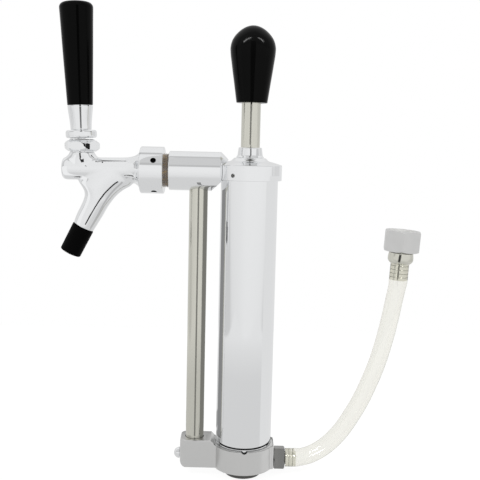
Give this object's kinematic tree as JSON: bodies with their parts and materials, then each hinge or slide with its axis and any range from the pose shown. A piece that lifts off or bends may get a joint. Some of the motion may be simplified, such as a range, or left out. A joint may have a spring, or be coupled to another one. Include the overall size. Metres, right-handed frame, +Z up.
{
  "type": "keg party pump",
  "caption": "Hand air pump on a base casting with a riser, a lever-operated beer tap and a clear beer hose that ends in a captive hexagonal nut.",
  "frame": {"origin": "centre of the coupler spigot's lower face, on the pump barrel's axis", "axes": "+Z up along the barrel's axis; -X towards the tap, +X towards the hose; the reference view looks along +Y"},
  "size_m": [0.2967, 0.052, 0.3873],
  "materials": {
    "chrome_plate": "polished chrome plate",
    "stainless_tube": "drawn stainless, satin along the length",
    "satin_casting": "satin nickel over a casting",
    "dark_nickel": "dark nickel, satin",
    "turned_brass": "turned brass",
    "spring_steel": "spring steel",
    "black_plastic": "glossy black moulded phenolic",
    "black_rubber": "matte black rubber",
    "white_nylon": "white nylon",
    "clear_vinyl": "clear, slightly yellow vinyl hose"
  },
  "bodies": {
    "pump_frame": {"pump_barrel": "chrome_plate", "top_cap": "chrome_plate", "gland_nut": "chrome_plate", "delivery_arm": "chrome_plate", "coupling_nut": "chrome_plate", "tap_body": "chrome_plate", "bonnet": "chrome_plate", "channel_plug": "chrome_plate", "riser_tube": "stainless_tube", "hose_tailpiece": "stainless_tube", "tailpiece_collar": "stainless_tube", "arm_screw": "stainless_tube", "base_casting": "satin_casting", "coupler_spigot": "dark_nickel", "inlet_barb": "dark_nickel", "cap_set_screw": "dark_nickel", "tap_shank": "turned_brass", "check_valve_retainer": "turned_brass", "snap_ring": "spring_steel", "check_valve_spring": "spring_steel", "coupler_gasket": "black_rubber", "barrel_seal": "black_rubber", "rod_wiper": "black_rubber", "riser_lower_seal": "black_rubber", "riser_upper_seal": "black_rubber", "tap_washer": "black_rubber", "ball_washer": "black_rubber", "nut_washer": "black_rubber", "spout_sleeve": "black_rubber", "rod_bushing": "white_nylon", "friction_ring": "white_nylon", "beer_hose": "clear_vinyl"},
    "pump_handle": {"pump_rod": "stainless_tube", "pump_knob": "black_plastic", "piston_body": "turned_brass", "piston_cup": "black_rubber", "piston_washer": "stainless_tube", "piston_nut": "turned_brass"},
    "tap_handle_lever": {"tap_lever": "chrome_plate", "handle_ferrule": "chrome_plate", "tap_handle": "black_plastic", "handle_insert": "chrome_plate"},
    "tap_valve": {"valve_shaft": "turned_brass", "seat_washer": "black_rubber", "shaft_nut": "turned_brass"},
    "check_valve": {"check_valve_poppet": "black_rubber"},
    "hose_swivel_nut": {"hose_nut": "satin_casting"}
  },
  "joints": [
    {"name": "pump_stroke", "type": "slide", "parent": "pump_frame", "child": "pump_handle", "axis": [0, 0, 1], "range_m": [0, 0.21]},
    {"name": "tap_lever_tilt", "type": "hinge", "parent": "pump_frame", "child": "tap_handle_lever", "pos_m": [-0.1361, 0, 0.2648], "axis": [0, -1, 0], "range_deg": [0, 17]},
    {"name": "valve_shaft_slide", "type": "slide", "parent": "pump_frame", "child": "tap_valve", "axis": [1, 0, 0], "range_m": [0, 0.0031]},
    {"name": "check_valve_lift", "type": "slide", "parent": "pump_frame", "child": "check_valve", "axis": [0, 0, -1], "range_m": [0, 0.001], "stiffness_N_per_m": 60, "springref_m": -0.001, "deforming": ["check_valve_spring"]},
    {"name": "hose_nut_swivel", "type": "hinge", "parent": "pump_frame", "child": "hose_swivel_nut", "pos_m": [0.12671, 0, 0.20097], "axis": [0.061, 0, 0.9981], "continuous": true}
  ],
  "couplings": [
    {"joint": "valve_shaft_slide", "follows": "tap_lever_tilt", "m_per_rad": 0.01012}
  ]
}
